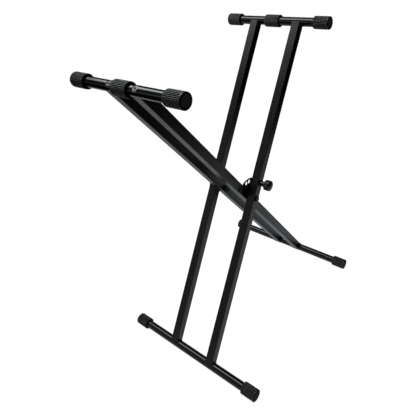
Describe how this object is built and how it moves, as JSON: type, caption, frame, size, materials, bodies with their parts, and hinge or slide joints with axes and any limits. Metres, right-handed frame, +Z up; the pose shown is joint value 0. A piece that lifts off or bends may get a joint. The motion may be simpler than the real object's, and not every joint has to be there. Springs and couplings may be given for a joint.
{
  "type": "folding keyboard stand",
  "caption": "Double-braced folding X stand that carries a keyboard on two round bars with ribbed rubber grips, set to height by a pin in a drilled disc.",
  "frame": {"origin": "on the floor, straight under the pivot, at the middle of the stand", "axes": "+Z up; +Y along the support bars and feet, away from the lock knob; +X towards the bar of the outer, wider frame"},
  "size_m": [0.6242, 0.487, 0.9115],
  "materials": {
    "leg_paint": "satin black powder coat",
    "bar_paint": "semi-gloss black powder coat",
    "disc_paint": "semi-gloss black paint",
    "grip_rubber": "matt black, ribbed",
    "black_steel": "black oxide",
    "plain_steel": "turned, bright",
    "nylon": "matt black nylon",
    "knob_plastic": "glossy black"
  },
  "bodies": {
    "outer_frame": {"outer_leg_near": "leg_paint", "outer_leg_far": "leg_paint", "outer_foot_tube": "bar_paint", "outer_foot_cap_near": "grip_rubber", "outer_foot_cap_far": "grip_rubber", "outer_bar_tube": "bar_paint", "outer_bar_cap_near": "grip_rubber", "outer_bar_cap_far": "grip_rubber", "outer_bar_sleeve": "grip_rubber", "outer_bar_screws": "black_steel", "outer_leg_blocks": "plain_steel", "pivot_bolts": "black_steel", "pivot_nuts": "black_steel", "pivot_nut_washers": "black_steel", "gap_washer": "nylon", "gap_spacer": "nylon", "lock_barrel": "disc_paint", "lock_spring": "plain_steel"},
    "inner_frame": {"inner_leg_near": "leg_paint", "inner_leg_far": "leg_paint", "inner_foot_tube": "bar_paint", "inner_foot_cap_near": "grip_rubber", "inner_foot_cap_far": "grip_rubber", "inner_bar_tube": "bar_paint", "inner_bar_cap_near": "grip_rubber", "inner_bar_cap_far": "grip_rubber", "inner_bar_sleeve": "grip_rubber", "inner_bar_screws": "black_steel", "inner_leg_blocks": "plain_steel", "pivot_bushes": "nylon", "lock_disc": "disc_paint"},
    "lock_plunger": {"lock_pin": "plain_steel", "lock_knob": "knob_plastic"}
  },
  "joints": [
    {"name": "fold", "type": "hinge", "parent": "outer_frame", "child": "inner_frame", "pos_m": [0, 0, 0.45573], "axis": [0, 1, 0], "range_deg": [-32.8, 63.4]},
    {"name": "lock_push", "type": "slide", "parent": "outer_frame", "child": "lock_plunger", "axis": [0, 1, 0], "range_m": [0, 0.0044]}
  ]
}
